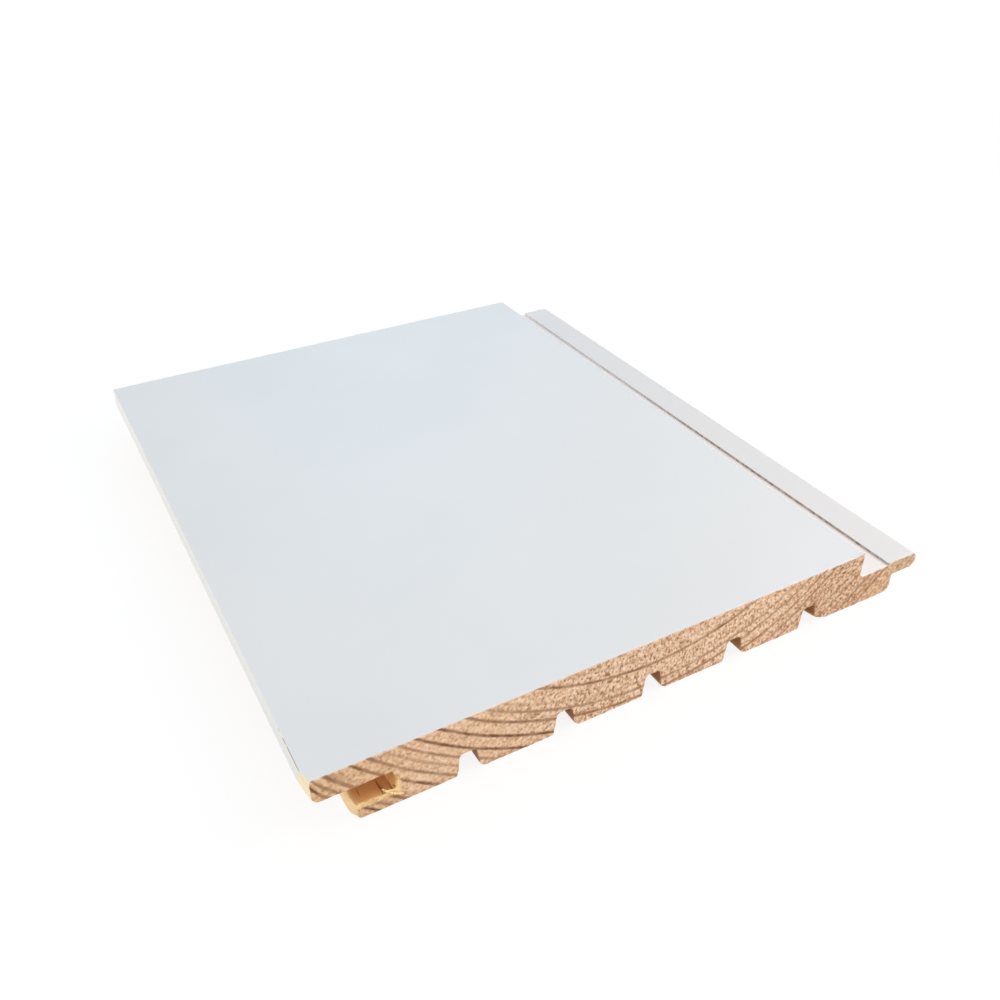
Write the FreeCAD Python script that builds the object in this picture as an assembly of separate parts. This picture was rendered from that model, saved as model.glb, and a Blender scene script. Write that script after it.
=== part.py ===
"""Tongue and groove board with a shadow gap: a short length of planed softwood, lying on its back.

The board is one solid, planed to one section along its whole length and sawn square at both ends.
Frame: +X runs across the board from the groove edge to the tongue edge, +Y along the grain, +Z up out
of the painted face. The origin is in the middle of the back. All sizes are in millimetres.
"""

import FreeCAD
import Part

import math
import os

# Overall sizes
BOARD_LENGTH = 221.0
FACE_WIDTH = 173.4           # painted face, from arris to arris
SHADOW_GAP = 4.8             # open gap between two faces when boards are laid

# Groove edge, from the face down to the back
FACE_LIP = 7.9               # thickness of the lip over the groove
GROOVE_HEIGHT = 6.1
BACK_LIP = 5.5               # thickness of the lip under the groove
LIP_OVERHANG = 9.7           # face lip beyond the back lip
GROOVE_DEPTH = 11.2          # from the edge of the back lip to the root

# Tongue edge: clearances in the groove of the next board
PLAY_ABOVE = 0.1
PLAY_BELOW = 0.8
PLAY_AT_TIP = 1.7
RECESS_DROP = 0.8            # floor of the recess below the top of the tongue
SEAT_LAND = 2.5              # top of the tongue behind the shoulder

# Relief grooves along the back
RELIEF_PITCH = 28.2
RELIEF_DEPTH = 7.3
RELIEF_MOUTH = 6.4           # width in the plane of the back
RELIEF_ROOT = 4.5            # width at the bottom of the groove
RELIEF_EDGE_RIB = 25.0       # least width of the two outer ribs
RELIEF_SHIFT = 1.2           # middle of the pattern, towards the groove edge from the middle of the back

# Rounded edges and corners
FACE_ARRIS = 0.5
FACE_LIP_ROUND = 1.0         # lower corner of the face lip
BACK_LIP_ROUND = 1.8         # lower corner of the back lip
LEAD_IN_ROUND = 1.4          # mouth of the groove on the back lip
GROOVE_FILLET = 0.5
RECESS_FILLET = 1.8
TONGUE_TOP_ROUND = 1.9
TONGUE_UNDER_ROUND = 2.4
SHOULDER_ROUND = 1.9         # lower corner under the tongue
RELIEF_FILLET = 1.4
RIB_LEFT_ROUND = 2.4         # corner of a rib that faces the groove edge
RIB_RIGHT_ROUND = 0.9        # corner of a rib that faces the tongue edge

# Share of the shorter wall beside a corner that its rounding may take up
WALL_SHARE = 0.48

# Heights above the back
lower_cheek = BACK_LIP
upper_cheek = lower_cheek + GROOVE_HEIGHT
face = upper_cheek + FACE_LIP
tongue_top = upper_cheek - PLAY_ABOVE
tongue_under = lower_cheek + PLAY_BELOW
recess_floor = tongue_top - RECESS_DROP

# Places across the board
overall_width = FACE_WIDTH + SHADOW_GAP + LIP_OVERHANG + GROOVE_DEPTH - PLAY_AT_TIP
face_lip_edge = -overall_width / 2
back_lip_edge = face_lip_edge + LIP_OVERHANG
groove_root = back_lip_edge + GROOVE_DEPTH
face_end = face_lip_edge + FACE_WIDTH
shoulder = face_end + SHADOW_GAP + LIP_OVERHANG
seat_start = shoulder - SEAT_LAND
tongue_tip = face_lip_edge + overall_width


def relief_middles():
    """Middles of the relief grooves, as many as fit at the pitch between the two outer ribs."""
    back_width = shoulder - back_lip_edge
    room = back_width - 2 * RELIEF_EDGE_RIB - RELIEF_MOUTH
    count = math.floor(room / RELIEF_PITCH) + 1
    middle = (back_lip_edge + shoulder) / 2 - RELIEF_SHIFT
    return [middle + (k - (count - 1) / 2) * RELIEF_PITCH for k in range(count)]


def relief_corners(middle):
    """Corners of one relief groove, from the rib beside it on the groove edge to the next rib."""
    return [
        (middle - RELIEF_MOUTH / 2, 0.0, RIB_RIGHT_ROUND),
        (middle - RELIEF_ROOT / 2, RELIEF_DEPTH, RELIEF_FILLET),
        (middle + RELIEF_ROOT / 2, RELIEF_DEPTH, RELIEF_FILLET),
        (middle + RELIEF_MOUTH / 2, 0.0, RIB_LEFT_ROUND),
    ]


def section_corners():
    """Corners (x, z, radius) of the planed section, from the back lip along the back to the tongue."""
    back = [(back_lip_edge, 0.0, BACK_LIP_ROUND)]
    for middle in relief_middles():
        back += relief_corners(middle)
    back.append((shoulder, 0.0, SHOULDER_ROUND))
    tongue = [
        (shoulder, tongue_under, GROOVE_FILLET),
        (tongue_tip, tongue_under, TONGUE_UNDER_ROUND),
        (tongue_tip, tongue_top, TONGUE_TOP_ROUND),
        (seat_start, tongue_top, 0.0),
        (seat_start, recess_floor, 0.0),
    ]
    face_side = [
        (face_end, recess_floor, RECESS_FILLET),
        (face_end, face, FACE_ARRIS),
        (face_lip_edge, face, FACE_ARRIS),
    ]
    groove = [
        (face_lip_edge, upper_cheek, FACE_LIP_ROUND),
        (groove_root, upper_cheek, GROOVE_FILLET),
        (groove_root, lower_cheek, GROOVE_FILLET),
        (back_lip_edge, lower_cheek, LEAD_IN_ROUND),
    ]
    return back + tongue + face_side + groove


def rounded_corner(before, corner, after):
    """Start, middle and end of the arc that rounds a corner, or the corner itself where it is sharp."""
    here = FreeCAD.Vector(corner[0], 0, corner[1])
    arriving = here - FreeCAD.Vector(before[0], 0, before[1])
    leaving = FreeCAD.Vector(after[0], 0, after[1]) - here
    if corner[2] == 0:
        return [here]
    half_turn = arriving.getAngle(leaving) / 2
    setback = min(corner[2] * math.tan(half_turn), WALL_SHARE * min(arriving.Length, leaving.Length))
    radius = setback / math.tan(half_turn)
    arriving.normalize()
    leaving.normalize()
    inward = (leaving - arriving).normalize()
    arc_middle = here + inward * (radius / math.cos(half_turn) - radius)
    return [here - arriving * setback, arc_middle, here + leaving * setback]


def section_wire(corners):
    """Closed outline of straight walls and tangent arcs through the corners."""
    rounded = []
    for i, corner in enumerate(corners):
        after = corners[(i + 1) % len(corners)]
        rounded.append(rounded_corner(corners[i - 1], corner, after))
    edges = []
    for i, points in enumerate(rounded):
        if len(points) > 1:
            edges.append(Part.Arc(*points).toShape())
        following = rounded[(i + 1) % len(rounded)]
        edges.append(Part.LineSegment(points[-1], following[0]).toShape())
    return Part.Wire(edges)


def make_board():
    """The board: its section carried along the grain from one sawn end to the other."""
    section = Part.Face(section_wire(section_corners()))
    section.translate(FreeCAD.Vector(0, -BOARD_LENGTH / 2, 0))
    return section.extrude(FreeCAD.Vector(0, BOARD_LENGTH, 0))


os.makedirs("parts", exist_ok=True)
make_board().exportStep("parts/tongue_and_groove_board.step")
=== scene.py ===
import math
import random

import bpy
import numpy as np
from mathutils import Matrix, Vector, geometry, kdtree, noise


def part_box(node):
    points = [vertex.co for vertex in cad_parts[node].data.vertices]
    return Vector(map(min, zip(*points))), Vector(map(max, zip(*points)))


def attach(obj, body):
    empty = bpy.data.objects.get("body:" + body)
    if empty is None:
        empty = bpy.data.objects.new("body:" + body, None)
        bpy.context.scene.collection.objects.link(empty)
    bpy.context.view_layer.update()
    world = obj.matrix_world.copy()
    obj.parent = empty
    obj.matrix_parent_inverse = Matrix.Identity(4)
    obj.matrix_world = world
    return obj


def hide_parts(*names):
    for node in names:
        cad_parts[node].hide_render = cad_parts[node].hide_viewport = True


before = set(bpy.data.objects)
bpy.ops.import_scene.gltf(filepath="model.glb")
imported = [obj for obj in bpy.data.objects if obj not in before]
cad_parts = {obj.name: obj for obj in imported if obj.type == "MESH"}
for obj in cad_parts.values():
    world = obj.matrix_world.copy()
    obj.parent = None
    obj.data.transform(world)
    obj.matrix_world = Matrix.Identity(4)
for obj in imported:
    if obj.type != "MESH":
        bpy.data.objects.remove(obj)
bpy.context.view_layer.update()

NODE = "tongue_and_groove_board"
BAKE_MAP = "OFBake"
PLANED, SAWN = 0, 1         # the board's two materials
SEED = 7
MM = 0.001
SAME_PLACE = 1e-3           # millimetres; closer than this counts as one place
POINT_DIGITS = 4            # decimals of a millimetre that tell two corners apart

# Box of the CAD board, in millimetres
low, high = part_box(NODE)
LEFT, NEAR, BACK = (c / MM for c in low)
RIGHT, FAR, TOP = (c / MM for c in high)

# The corner of the face lip beside the near end is broken off: its depth, and its length at the face and
# at the lip's foot (mm). Other places across the near end are counted from the broken edge.
BREAK = 0.9
BREAK_AT_FACE = 4.5
BREAK_AT_FOOT = 9.0
BREAK_FADE = 3.0            # how far into the lip the wood gives way
BREAK_BELOW_FOOT = 1.5      # how far below the foot it ends
EDGE = LEFT + BREAK

# Walls of the section (mm)
LEAST_WALL = 0.3            # shorter upright stretches belong to a rounding
OVERHANG_MARGIN = 3.0       # the lip's foot is looked for this far outside the back lip

# Painted walls: how far they have to face up, to the tongue edge or to the groove edge, and limits (mm)
FACES_UP = 0.3
FACES_TONGUE_EDGE = 0.5
FACES_GROOVE_EDGE = 0.3
LIP_EDGE_DEPTH = 0.3
TONGUE_REACH = 15.0
PAINT_WELL_INSIDE = -0.6    # no point of the paint counts as further from its edge than this
GAP_SWEEPS = 2              # times round the closed outline

# Hollows, which get painted shade: the groove and the relief grooves (mm, or shares where named so)
HOLLOW_MARGIN = 2.0         # least distance of a relief groove from the groove's root and the seat
RELIEF_HOLLOW_RATE = 2.0    # a relief groove counts as deep from half its depth
GROOVE_MOUTH = 1.0
GROOVE_ROOT_MARGIN = 0.05
GROOVE_BAND = (0.25, 0.62)  # shares of the thickness between which the groove lies
GROOVE_HOLLOW = 0.45        # how hollow the groove counts, from 0 to 1
GROOVE_HOLLOW_RISE = (0.08, 0.25)

# Mesh density, in millimetres
OUTLINE_STEP = 0.5
NEAR_END_STEP = 0.30
FAR_END_STEP = 0.60
FIRST_STATION = 0.15
STATION_GROWTH = 1.35
LONGEST_STATION = 25.0
GRID_CLEARANCE = 0.6        # of the grid's step, kept from the outline
INSIDE_ONLY = 1             # kind of triangulation that fills the outline alone
MERGE_DISTANCE = 1e-5
SHARP_ANGLE = math.radians(40)

# Growth rings: the pith runs along the board above its face, drifting a little from end to end (mm)
PITH_FROM_EDGE = 96.0
PITH_ABOVE_FACE = 75.0
PITH_DRIFT_X = 0.012
PITH_DRIFT_Z = 0.035
RING_WOBBLE = 0.16
RING_WOBBLE_LENGTH = 10.0
RING_WOBBLE_STRETCH = (1.0, 0.12, 1.0)
RING_SQUEEZE = 2.5          # outer rings lie closer to the pith towards the tongue edge
RING_SQUEEZE_ACROSS = (136.0, 162.0)
RING_SQUEEZE_RADII = (93.5, 100.0)
RING_HALF_WIDTH = 0.80
# Latewood lines: distance from the pith (mm) and darkness from 0 to 1
RINGS = [
    (76.8, 0.14), (79.8, 0.22), (83.2, 0.80), (88.2, 0.22), (90.5, 0.58), (93.7, 0.80), (98.1, 1.00),
    (102.2, 0.94), (105.3, 0.62), (108.0, 0.42), (110.9, 0.66), (114.1, 0.90), (117.6, 0.28), (119.2, 0.80),
    (121.7, 0.68), (123.8, 0.95),
]
RING_RANGE = (72.0, 128.0)
RING_MEAN_RADIUS = 90.0
FAINT_RINGS = (118.0, 142.0)  # across the board, where the lines fade towards the tongue
FAINT_RING_SHARE = 0.62
RING_RAGGED = (0.9, 1.0)    # size and reach of the lines' raggedness
RING_RAGGED_SHARES = (0.5, 1.3)  # before and past where they fade
# Short dark resin streaks in the near end: place along the ring and from the pith, half length, half height
RESIN_STREAKS = [(25.8, 83.2, 1.8, 0.45), (63.5, 101.3, 1.0, 0.5)]
RESIN_SOFT_EDGE = (1.1, 0.5)
RESIN_SHARE = 0.85
NEAR_HALF = (1.0, -1.0)     # along the board, about its middle

# Sawn ends: relief of the torn end grain (mm)
LATEWOOD_RIDGE = 0.05
RIDGE_SMOOTHING = 0.6       # share of the fuzz that a ridge takes away
FUZZ_HEIGHT = 0.10
FUZZ_SIZE = 0.7
COARSE_FUZZ = 2.3           # times the size of the fine fuzz
FUZZ_SHARES = (0.6, 0.4)    # fine and coarse
PIT_DEPTH = 0.22
PIT_SIZE = 1.1
PIT_THRESHOLD = 0.25
ARRIS_WEAR = 0.09
ARRIS_WEAR_FADE = 0.25      # along the grain
ARRIS_WEAR_SIZE = 0.8
COARSE_WEAR = 4             # times the size of the fine wear
ARRIS_WEAR_MEAN = 1.2
ARRIS_WEAR_SPREAD = 1.5
TEAR_SIZE = 0.8
TEAR_ROUGHNESS = 0.35

# Offsets in the noise, one for each pattern, so that none repeats another
RING_NOISE = 3.7
FUZZ_NOISE = 11.3
COARSE_FUZZ_NOISE = 5.1
PIT_NOISE = 23.9
WEAR_NOISE = 7.7
COARSE_WEAR_NOISE = 2.2
TEAR_NOISE = 31.0

# Worn and torn edges of the near end, in millimetres: middle across from the edge and up from the back,
# half width and half height in the section, push in x and z, and reach along the grain
WORN_EDGES = [
    (8.8, 2.5, 3.0, 7.0, 1.3, 0.2, 4.0),      # edge of the back lip, torn
    (8.8, 0.0, 3.5, 3.0, 0.2, 0.35, 5.0),     # its lower corner
    (-0.4, 11.6, 2.3, 2.0, 0.3, 0.65, 6.0),   # lower corner of the face lip
    (20.0, 8.0, 2.4, 4.5, 1.0, 0.0, 2.5),     # root of the groove, torn
    (14.5, 5.5, 6.5, 2.2, 0.0, -0.7, 1.8),    # upper edge of the back lip, torn
    (156.6, 0.0, 5.5, 5.5, 0.0, 1.3, 9.0),    # corner of the last rib
    (187.0, 0.0, 3.0, 3.0, -0.2, 0.3, 5.0),   # shoulder under the tongue
    (172.0, 19.5, 4.5, 1.6, 0.0, 0.5, 0.9),   # burr at the corner of the face
]

# Torn fibres on the near end (mm): places are across from the edge and up from the face, so down is negative
STRAND_SIDES = 5
STRAND_PIECES = 5
STRAND_CORE = 0.25          # share of the radius that is the same all along
STRAND_SWELL = (0.15, 0.75)  # start and length of the swelling, in half turns of a sine
STRAND_STANDS_OUT = (0.1, 0.45)  # how far its end stands out of the near end
STRAND_ROOT = 0.12          # how far its start lies inside
STRAND_BOW = 0.2
# Long fibres: start, end, bow, root and radius
LONG_FIBRES = [
    ((22.2, -16.6), (17.0, -12.2), 0.08, -0.2, 0.40),
    ((21.2, -15.2), (17.2, -13.4), -0.10, -0.1, 0.24),
    ((17.6, -15.5), (14.2, -14.6), 0.10, -0.02, 0.13),
]
# Short fibres: how many, then the ranges of the start across and up, the run across and up, and the radius
SHORT_FIBRES = [
    (9, (21.1, 21.8), (-14.6, -9.6), (-0.1, -0.5), (0.6, 1.3), (0.10, 0.16)),      # root of the groove
    (12, (11.0, 20.5), (-15.3, -15.7), (-0.7, -1.6), (0.1, 0.5), (0.08, 0.13)),    # along its lower lip
]

# Baking map, in shares of its side: the two sawn ends at full width, then the painted and the bare sides
BAKE_MARGIN = 0.01
BAKE_WIDTH = 1 - 2 * BAKE_MARGIN
BAKE_SCALE = BAKE_WIDTH / (RIGHT - LEFT)
BAKE_END_HEIGHT = BAKE_SCALE * (TOP - BACK)
BAKE_NEAR_END = BAKE_MARGIN
BAKE_FAR_END = BAKE_NEAR_END + BAKE_END_HEIGHT + BAKE_MARGIN
BAKE_PAINTED = BAKE_FAR_END + BAKE_END_HEIGHT + BAKE_MARGIN
BAKE_SIDE_HEIGHT = (1 - BAKE_PAINTED) / 2 - BAKE_MARGIN
BAKE_BARE = BAKE_PAINTED + BAKE_SIDE_HEIGHT + BAKE_MARGIN


def srgb(red, green, blue):
    """Linear colour of an 8-bit display colour."""
    def linear(value):
        value /= 255
        return value / 12.92 if value <= 0.04045 else ((value + 0.055) / 1.055) ** 2.4
    return (linear(red), linear(green), linear(blue), 1.0)


# Colours
BLACK = (0, 0, 0, 1)
WHITE = (1, 1, 1, 1)
WHITE_PAINT = srgb(230, 231, 232)
PAINT_SHADE = srgb(228, 229, 230)
# Painted light: warmer paint in the recess and on the tongue, and lighter in the recess, for the light that
# falls there
RECESS_LIT_PAINT = srgb(241, 234, 231)
TONGUE_LIT_PAINT = srgb(231, 228, 227)
PAINT_FRINGE = srgb(240, 222, 212)
END_EARLYWOOD = srgb(237, 197, 160)
END_LATEWOOD = srgb(118, 76, 46)
END_BRIGHT = srgb(251, 228, 204)
END_DARK = srgb(140, 96, 64)
END_LAYER = srgb(194, 146, 108)
CHIP_WOOD = srgb(255, 238, 204)
TORN_WOOD = srgb(255, 228, 172)
BARE_EARLYWOOD = srgb(250, 220, 174)
BARE_LATEWOOD = srgb(204, 148, 88)
BARE_STREAK = srgb(216, 162, 100)
# Painted shade: darker colours for the groove and the relief grooves, where shadow falls; the darkest also
# draws splits in the groove
GROOVE_SHADE_WOOD = srgb(208, 146, 82)
HOLLOW_SHADE_WOOD = srgb(166, 106, 50)
SPLIT_AND_SHADE_STREAK = srgb(92, 54, 24)
RESIN = srgb(112, 72, 44)
# Dirt and painted shade in the corner of the tongue's seat; also the dark line on the face lip's upper edge
GRIME_AND_SHADE = srgb(160, 134, 112)

# Most of a noise lies between these, and this is its middle
NOISE_SPAN = (0.3, 0.7)
NOISE_MIDDLE = 0.5

# Look of the sawn end: sizes in millimetres, spans of a noise or of a line's darkness, and shares
LINE_PATCH_SIZE = 3.5       # patches in which a latewood line is weaker or stronger
LINE_PATCHES = (0.70, 1.10)
MOTTLE_SIZE = 2.4
MOTTLE_SHADES = (0.10, 0.0)
FLECK_SIZE = 0.73
FLECK_STRETCH = (1.0, 0.72)  # along the ring and out from the pith
FLECK_DETAIL = 1
BRIGHT_FLECKS = (0.50, 0.70)
DARK_FLECKS = (0.48, 0.26)
FLECKS_ON_LINES = (0.1, 0.7, 1.0, 0.35)  # span of darkness, and the share at each end of it
# Strength of the flecks across the sawn ends: from and to (mm from the edge), and the factor at each
FLECK_STRENGTHS = [
    ((40.0, 80.0), (0.62, 1.18)),
    ((150.0, 168.0), (1.0, 1.4)),
    ((170.0, 177.0), (1.0, 0.55)),
]
DARK_FLECK_STRENGTH = ((95.0, 135.0), (0.88, 0.66))
LAYER_SIZE = 0.5
LAYER_STRETCH = (0.07, 1.0)
LAYER_SPAN = (0.5, 0.75)
LAYER_STRENGTH = ((100.0, 130.0), (0.3, 0.12))
# Tints of the sawn end: from and to (mm from the edge), and the colour that multiplies the wood
END_TINTS = [
    ((26.0, 14.0), (0.93, 0.90, 0.82, 1.0)),       # round the groove
    ((40.0, 66.0), (0.95, 0.94, 0.95, 1.0)),       # middle
    ((130.0, 165.0), (0.87, 0.825, 0.78, 1.0)),    # towards the tongue
    ((184.0, 190.0), (0.89, 0.98, 1.0, 1.0)),      # tip of the tongue
]
END_ROUGHNESS = 0.85
END_BUMP = 0.12

# Torn pale wood round the groove of the sawn ends (mm): where it starts and where it is full
TORN_PAST_ROOT = (2.4, 1.0)  # across, past the root of the groove
TORN_FROM_BELOW = (3.0, 4.4)  # up from the back
TORN_FROM_ABOVE = (10.5, 8.5)
TORN_LIP = (4.3, 4.9)       # along the upper edge of the back lip
TORN_LIP_WANDER = (1.2, 1.2)
TORN_LIP_TOP = (6.5, 6.0)
TORN_LIP_END = (0.5, -0.5)  # across, about the root
TORN_LIP_SHARE = 0.45
TORN_FLECK_SHARES = (0.7, 0.95)

# Paint that clings to the sawn ends beside the painted arris (mm)
FRINGE_WANDER = (1.5, 2.0)
FRINGE_FADE = (0.15, 0.65)
FRINGE_SHARE = 0.75
FRINGE_ON_LINES = (0.15, 0.6, 1.0, 0.1)  # span of darkness, and the share at each end of it

# Look of the planed wood
GRAIN_STRETCH = (1.0, 0.03, 1.0)
GRAIN_SIZE = 0.45
GRAIN_DETAIL = 3
GRAIN_ROUGHNESS = 0.6
GRAIN_SPAN = (0.55, 0.75)
GRAIN_SHARE = 0.4
STREAK_SIZE = 1.6
STREAK_SPAN = (0.5, 0.75)
STREAK_SHARE = 0.45
PLANED_RING_SHARE = 0.75
BARE_ROUGHNESS = 0.6
PLANED_BUMP = 0.05          # mm

# Painted shade in the hollows: spans of hollowness from 0 to 1, and shares
RELIEF_STARTS = (3.0, 3.1)  # mm past the root of the groove
HOLLOW_FROM_END = (0.1, 0.6)  # mm from a sawn end
HOLLOW_AT_END = 0.4
RELIEF_AT_END = 0.8
GROOVE_SHADE_SPAN = (0.05, 0.40)
GROOVE_SHADE_SHARE = 0.9
HOLLOW_UNEVENNESS = 0.9
DEEP_SPAN = (0.5, 0.9)
DEEP_SHARE = 0.85
DEEP_FROM = (0.2, 0.5)
DEEP_STREAK_SPAN = (0.55, 0.7)
DEEP_STREAK_SHARE = 0.8
SPLIT_STRETCH = (1.0, 0.16, 1.0)
SPLIT_SIZE = 1.5
SPLIT_DETAIL = 1
SPLIT_SPAN = (0.60, 0.70)
SPLIT_SHARE = 0.7
SPLIT_FROM = (0.1, 0.3)

# Paint (mm, and shares)
PAINT_EDGE = (-0.06, 0.06)  # where it thins out along the section
PAINT_EDGE_WANDER = (4.0, 0.5)
FRAY_WANDER = (1.3, 0.5)    # how unevenly it stops at the sawn arris
FRAY_FADE = (-0.08, 0.02)
PEEL_SIZE = 1.6
PEEL_HEIGHT = 0.03
PAINT_ROUGHNESS = (0.46, 0.52)
CLOUD_SIZE = 35.0
CLOUD_SPAN = (0.35, 0.65)
RECESS_PAINT_FADE = (0.5, 0.2)  # up from the floor of the recess
BELOW_FACE = (-5.0, -7.0)   # from the face
TONGUE_HALF = (0.0, 1.0)    # across the board, past its middle

# Bare wood on the broken corner of the face lip (mm)
CHIP_WANDERS = [(2.0, 6.0), (0.6, 3.0)]
CHIP_END = (-0.7, -0.4)
CHIP_ACROSS = (1.0, 0.8)
CHIP_BELOW_FACE = (-0.10, -0.25)
CHIP_SHARE = 0.8

# Dirt and painted shade on the wall of the tongue's seat (mm): across from the wall, up from the floor of
# the recess and along
SEAT_LINE_BEFORE = (-0.25, -0.02)
SEAT_LINE_PAST = (0.12, 0.04)
SEAT_LINE_FOOT = (-0.2, -0.1)
SEAT_LINE_TOP = (0.75, 0.60)
SEAT_LINE_FADES = (75.0, 160.0)  # from the near end
SEAT_LINE_FAR_SHARE = 0.10
SEAT_LINE_PATCH_SIZE = 2.0
SEAT_LINE_PATCHES = (0.40, 1.0)

# Dark line along the upper edge of the face lip (mm): across from the lip's edge and up from the face
ARRIS_LINE_LENGTH = 15.0    # from the near end
ARRIS_LINE_WANDER = (2.0, 20.0)
ARRIS_LINE_FADE = (3.0, -3.0)
ARRIS_LINE_ACROSS = (0.26, 0.18)
ARRIS_LINE_UP = (-0.32, -0.22)

# Look of the torn fibres
FIBRE_STRETCH = (1.0, 1.0, 0.4)
FIBRE_STREAK_SIZE = 0.6
FIBRE_STREAK_SPAN = (0.45, 0.75)
FIBRE_ROUGHNESS = (0.65, 0.8)

# Floor: half its side in metres, its level and the white round the board in millimetres
FLOOR_HALF_SIDE = 6.0
FLOOR_LEVEL = -0.05
FLOOR_PALE = (0.86, 0.86, 0.86, 1)
FLOOR_BOUNCE = (0.58, 0.58, 0.58, 1)
FLOOR_GLOW = 1.06
FLOOR_WHITE_FROM = (300.0, 1200.0)
FLOOR_WHITE_SHARES = (0.82, 1.0)

# Light: strength of the surroundings on the board and as the camera sees them
WORLD_LIGHT = 0.60
WORLD_SEEN = 1.0
CENTRE = (0.0, 0.0, 0.0)
NEAR_TONGUE = (0.1, -0.1, 0.0)
WARM = (1.0, 0.92, 0.84)
# Lamps: name, place, target, width and height in metres, power in watts, colour
LAMPS = [
    ("key", (0.1, -1.1, 0.28), CENTRE, (1.2, 0.5), 3.9, WARM),
    ("left", (-0.9, 0.3, 0.16), CENTRE, (1.2, 0.3), 4.5, (1.0, 0.96, 0.86)),
    ("right", (0.5, -0.20, 0.42), NEAR_TONGUE, (0.4, 0.4), 1.35, (0.86, 0.89, 0.94)),
    ("sky", (0.3, 0.9, 0.7), CENTRE, (0.5, 0.5), 1.9, (0.12, 0.60, 1.0)),
    ("back", (0.0, 1.1, 0.25), CENTRE, (1.2, 0.5), 0.9, WARM),
    ("tongue", (0.30, -0.30, 0.30), NEAR_TONGUE, (0.25, 0.25), 0.34, (1.0, 0.80, 0.58)),
]

# Camera, worked out from the straight edges of the photographed board
CAMERA_FROM_CORNER = Vector((-0.03145, -0.15175, 0.17561))
CAMERA_HEADING = math.radians(28.50)
CAMERA_ELEVATION = math.radians(33.83)
CAMERA_ROLL = math.radians(-0.69)
CAMERA_LENS = 35.377
CAMERA_SENSOR = 36.0
CAMERA_CLIP = 0.01


def smoothstep(start, end, value):
    """Smooth step from 0 at start to 1 at end."""
    t = np.clip((value - start) / (end - start), 0, 1)
    return t * t * (3 - 2 * t)


def noise_at(points, size, offset):
    """Smooth noise from about -1 to 1 at each point, with features of that size."""
    scaled = np.asarray(points) / size + offset
    return np.array([noise.noise(Vector(p)) for p in scaled])


def past(place, distances):
    """The places that lie these distances past a place."""
    return [place + distance for distance in distances]


def in_scene(name, data):
    """A new object of the scene that shows the data."""
    thing = bpy.data.objects.new(name, data)
    bpy.context.scene.collection.objects.link(thing)
    return thing


def near_end_neighbours(mesh):
    """The two neighbours of each corner on the outline of the near sawn end, in millimetres."""
    points = [tuple(round(c / MM, POINT_DIGITS) for c in v.co) for v in mesh.vertices]
    count = {}
    for face in mesh.polygons:
        corners = [points[i] for i in face.vertices]
        if all(p[1] - NEAR < SAME_PLACE for p in corners):
            for a, b in zip(corners, corners[1:] + corners[:1]):
                count[frozenset((a, b))] = count.get(frozenset((a, b)), 0) + 1
    beside = {}
    for edge, uses in count.items():
        if uses == 1:
            a, b = edge
            beside.setdefault(a, []).append(b)
            beside.setdefault(b, []).append(a)
    return beside


def section_outline(mesh):
    """Outline (x, z) of the near sawn end in millimetres, counter-clockwise as the camera sees it."""
    beside = near_end_neighbours(mesh)
    start = min(beside)
    loop = [start]
    before, here = None, start
    while True:
        following = next(p for p in beside[here] if p != before)
        if following == start:
            break
        loop.append(following)
        before, here = here, following
    outline = np.array([(p[0], p[2]) for p in loop])
    x, z = outline.T
    area = np.sum(x * np.roll(z, -1) - np.roll(x, -1) * z) / 2
    return outline if area > 0 else outline[::-1]


def groove_side_walls(outline):
    """Places across the board of the upright walls that face the groove edge, from left to right."""
    step = np.roll(outline, -1, axis=0) - outline
    upright = (np.abs(step[:, 0]) < SAME_PLACE) & (step[:, 1] < -LEAST_WALL)
    return sorted(outline[upright, 0])


SECTION = section_outline(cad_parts[NODE].data)
LIP, BACK_LIP, ROOT, SEAT = groove_side_walls(SECTION)
LIP_FOOT = SECTION[SECTION[:, 0] < BACK_LIP - OVERHANG_MARGIN, 1].min()
ON_SEAT_WALL = (np.abs(SECTION[:, 0] - SEAT) < SAME_PLACE) & (SECTION[:, 1] > TOP / 2)
RECESS_FLOOR = SECTION[ON_SEAT_WALL, 1].min()


def divided(outline, step):
    """The outline with its long walls divided, so that no stretch is longer than step."""
    points = []
    for here, following in zip(outline, np.roll(outline, -1, axis=0)):
        parts = max(1, math.ceil(np.linalg.norm(following - here) / step))
        points += [here + (following - here) * k / parts for k in range(parts)]
    return np.array(points)


def outward_normals(outline):
    """Outward direction at each point of the counter-clockwise outline."""
    along = np.roll(outline, -1, axis=0) - np.roll(outline, 1, axis=0)
    normal = np.stack([along[:, 1], -along[:, 0]], axis=1)
    return normal / np.linalg.norm(normal, axis=1, keepdims=True)


def painted_points(outline, normal):
    """Which points of the outline are painted: lip's edge, face, recess and top of the tongue."""
    x, z = outline.T
    facing_up = normal[:, 1] > FACES_UP
    lip_edge = x < LEFT + LIP_EDGE_DEPTH
    face_wall = (normal[:, 0] > FACES_TONGUE_EDGE) & (x < RIGHT - TONGUE_REACH)
    seat_wall = (normal[:, 0] < -FACES_GROOVE_EDGE) & (x > 0)
    return (z > TOP / 2) & (facing_up | lip_edge | face_wall | seat_wall)


def paint_gap_along(outline, painted):
    """Distance along the outline from each point to the edge of the paint, negative on the paint."""
    steps = np.linalg.norm(np.roll(outline, -1, axis=0) - outline, axis=1)
    count = len(outline)
    gap = np.full(count, np.inf)
    for i in range(count):
        j = (i + 1) % count
        if painted[i] != painted[j]:
            gap[i] = gap[j] = steps[i] / 2
    for _ in range(GAP_SWEEPS):
        for order in (range(count), range(count - 1, -1, -1)):
            for i in order:
                j = (i + 1) % count
                gap[i] = min(gap[i], gap[i - 1] + steps[i - 1], gap[j] + steps[i])
    return np.maximum(np.where(painted, -gap, gap), PAINT_WELL_INSIDE)


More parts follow.
